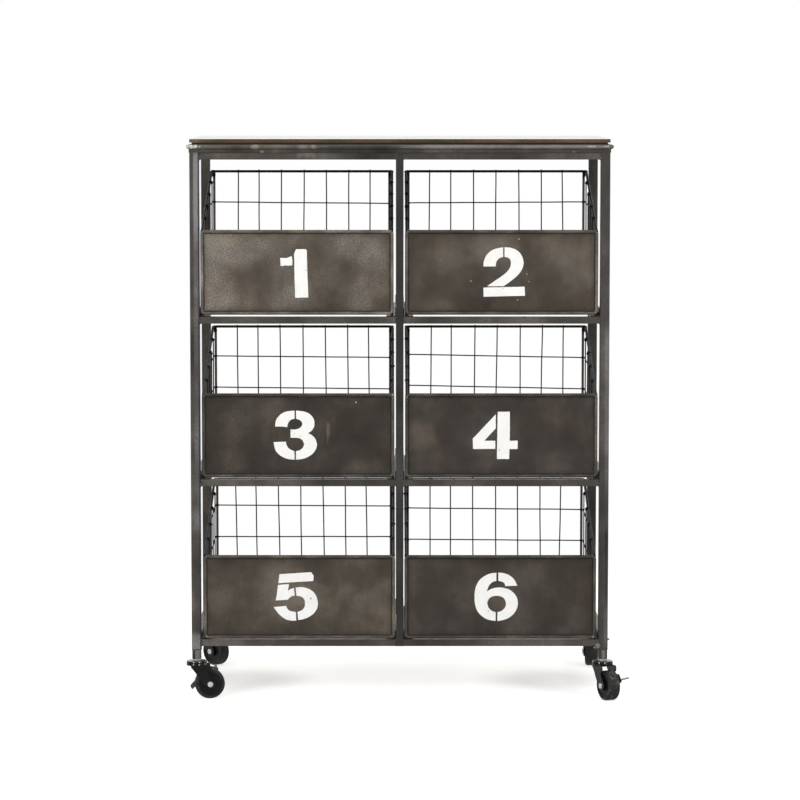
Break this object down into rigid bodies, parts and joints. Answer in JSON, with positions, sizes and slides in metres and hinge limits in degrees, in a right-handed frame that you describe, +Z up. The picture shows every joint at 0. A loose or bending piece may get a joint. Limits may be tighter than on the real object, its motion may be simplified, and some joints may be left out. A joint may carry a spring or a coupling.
{
  "type": "storage rack",
  "caption": "Welded square-tube storage rack on swivel casters, with wire baskets that slide out to the front behind numbered sheet-steel panels, and a moulded flat top.",
  "frame": {"origin": "on the floor, in the middle between the four corner posts", "axes": "+Z up, +X to the right as seen from the front, +Y towards the back; the baskets slide out along -Y"},
  "size_m": [0.831, 0.461, 1.0481],
  "materials": {
    "frame_steel": "clear-lacquered raw steel, satin, mottled smoky grey-brown",
    "top_steel": "clear-lacquered raw steel, satin, worn at the edges",
    "basket_steel": "dark lacquered steel rod and wire",
    "black_steel": "gloss black",
    "zinc": "bright zinc plating",
    "wheel_plastic": "smooth black",
    "tyre_rubber": "semi-gloss black, scuffed",
    "panel_1_steel": "clear-lacquered raw sheet steel, mottled, with a white stencilled numeral",
    "panel_2_steel": "clear-lacquered raw sheet steel, mottled, with a white stencilled numeral",
    "panel_3_steel": "clear-lacquered raw sheet steel, mottled, with a white stencilled numeral",
    "panel_4_steel": "clear-lacquered raw sheet steel, mottled, with a white stencilled numeral",
    "panel_5_steel": "clear-lacquered raw sheet steel, mottled, with a white stencilled numeral",
    "panel_6_steel": "clear-lacquered raw sheet steel, mottled, with a white stencilled numeral"
  },
  "bodies": {
    "rack": {"post_front_left": "frame_steel", "post_front_right": "frame_steel", "post_rear_left": "frame_steel", "post_rear_right": "frame_steel", "post_front_centre": "frame_steel", "post_rear_centre": "frame_steel", "front_rails_left": "frame_steel", "front_rails_right": "frame_steel", "rear_rails": "frame_steel", "side_rails": "frame_steel", "basket_runners": "frame_steel", "top_moulding": "top_steel", "top_plate": "top_steel", "stem_sockets": "frame_steel", "caster_stems": "zinc", "caster_cups": "black_steel"},
    "basket_1": {"front_panel_1": "panel_1_steel", "front_frame_1": "basket_steel", "basket_frame_1": "basket_steel", "basket_mesh_1": "basket_steel"},
    "basket_2": {"front_panel_2": "panel_2_steel", "front_frame_2": "basket_steel", "basket_frame_2": "basket_steel", "basket_mesh_2": "basket_steel"},
    "basket_3": {"front_panel_3": "panel_3_steel", "front_frame_3": "basket_steel", "basket_frame_3": "basket_steel", "basket_mesh_3": "basket_steel"},
    "basket_4": {"front_panel_4": "panel_4_steel", "front_frame_4": "basket_steel", "basket_frame_4": "basket_steel", "basket_mesh_4": "basket_steel"},
    "basket_5": {"front_panel_5": "panel_5_steel", "front_frame_5": "basket_steel", "basket_frame_5": "basket_steel", "basket_mesh_5": "basket_steel"},
    "basket_6": {"front_panel_6": "panel_6_steel", "front_frame_6": "basket_steel", "basket_frame_6": "basket_steel", "basket_mesh_6": "basket_steel"},
    "swivel_front_left": {"fork_front_left": "black_steel", "pins_front_left": "zinc"},
    "wheel_front_left": {"hub_front_left": "wheel_plastic", "tyre_front_left": "tyre_rubber"},
    "brake_front_left_lever": {"brake_front_left": "zinc"},
    "swivel_front_right": {"fork_front_right": "black_steel", "pins_front_right": "zinc"},
    "wheel_front_right": {"hub_front_right": "wheel_plastic", "tyre_front_right": "tyre_rubber"},
    "brake_front_right_lever": {"brake_front_right": "zinc"},
    "swivel_rear_left": {"fork_rear_left": "black_steel", "pins_rear_left": "zinc"},
    "wheel_rear_left": {"hub_rear_left": "wheel_plastic", "tyre_rear_left": "tyre_rubber"},
    "brake_rear_left_lever": {"brake_rear_left": "zinc"},
    "swivel_rear_right": {"fork_rear_right": "black_steel", "pins_rear_right": "zinc"},
    "wheel_rear_right": {"hub_rear_right": "wheel_plastic", "tyre_rear_right": "tyre_rubber"},
    "brake_rear_right_lever": {"brake_rear_right": "zinc"}
  },
  "joints": [
    {"name": "basket_1_slide", "type": "slide", "parent": "rack", "child": "basket_1", "axis": [0, -1, 0], "range_m": [0, 0.3]},
    {"name": "basket_2_slide", "type": "slide", "parent": "rack", "child": "basket_2", "axis": [0, -1, 0], "range_m": [0, 0.3]},
    {"name": "basket_3_slide", "type": "slide", "parent": "rack", "child": "basket_3", "axis": [0, -1, 0], "range_m": [0, 0.3]},
    {"name": "basket_4_slide", "type": "slide", "parent": "rack", "child": "basket_4", "axis": [0, -1, 0], "range_m": [0, 0.3]},
    {"name": "basket_5_slide", "type": "slide", "parent": "rack", "child": "basket_5", "axis": [0, -1, 0], "range_m": [0, 0.3]},
    {"name": "basket_6_slide", "type": "slide", "parent": "rack", "child": "basket_6", "axis": [0, -1, 0], "range_m": [0, 0.3]},
    {"name": "swivel_front_left_turn", "type": "hinge", "parent": "rack", "child": "swivel_front_left", "pos_m": [-0.381, -0.195, 0.065], "axis": [0, 0, 1], "continuous": true},
    {"name": "wheel_front_left_spin", "type": "hinge", "parent": "swivel_front_left", "child": "wheel_front_left", "pos_m": [-0.35718, -0.19207, 0.028], "axis": [-0.1219, 0.9925, 0], "continuous": true},
    {"name": "brake_front_left_press", "type": "hinge", "parent": "swivel_front_left", "child": "brake_front_left_lever", "pos_m": [-0.3681, -0.19342, 0.04], "axis": [-0.1219, 0.9925, 0], "range_deg": [0, 27]},
    {"name": "swivel_front_right_turn", "type": "hinge", "parent": "rack", "child": "swivel_front_right", "pos_m": [0.381, -0.195, 0.065], "axis": [0, 0, 1], "continuous": true},
    {"name": "wheel_front_right_spin", "type": "hinge", "parent": "swivel_front_right", "child": "wheel_front_right", "pos_m": [0.39088, -0.21687, 0.028], "axis": [0.9114, 0.4115, 0], "continuous": true},
    {"name": "brake_front_right_press", "type": "hinge", "parent": "swivel_front_right", "child": "brake_front_right_lever", "pos_m": [0.38635, -0.20685, 0.04], "axis": [0.9114, 0.4115, 0], "range_deg": [-27, 0]},
    {"name": "swivel_rear_left_turn", "type": "hinge", "parent": "rack", "child": "swivel_rear_left", "pos_m": [-0.381, 0.195, 0.065], "axis": [0, 0, 1], "continuous": true},
    {"name": "wheel_rear_left_spin", "type": "hinge", "parent": "swivel_rear_left", "child": "wheel_rear_left", "pos_m": [-0.36403, 0.17803, 0.028], "axis": [0.7071, 0.7071, 0], "continuous": true},
    {"name": "brake_rear_left_press", "type": "hinge", "parent": "swivel_rear_left", "child": "brake_rear_left_lever", "pos_m": [-0.37181, 0.18581, 0.04], "axis": [0.7071, 0.7071, 0], "range_deg": [0, 27]},
    {"name": "swivel_rear_right_turn", "type": "hinge", "parent": "rack", "child": "swivel_rear_right", "pos_m": [0.381, 0.195, 0.065], "axis": [0, 0, 1], "continuous": true},
    {"name": "wheel_rear_right_spin", "type": "hinge", "parent": "swivel_rear_right", "child": "wheel_rear_right", "pos_m": [0.381, 0.171, 0.028], "axis": [1, 0, 0], "continuous": true},
    {"name": "brake_rear_right_press", "type": "hinge", "parent": "swivel_rear_right", "child": "brake_rear_right_lever", "pos_m": [0.381, 0.182, 0.04], "axis": [1, 0, 0], "range_deg": [0, 27]}
  ]
}
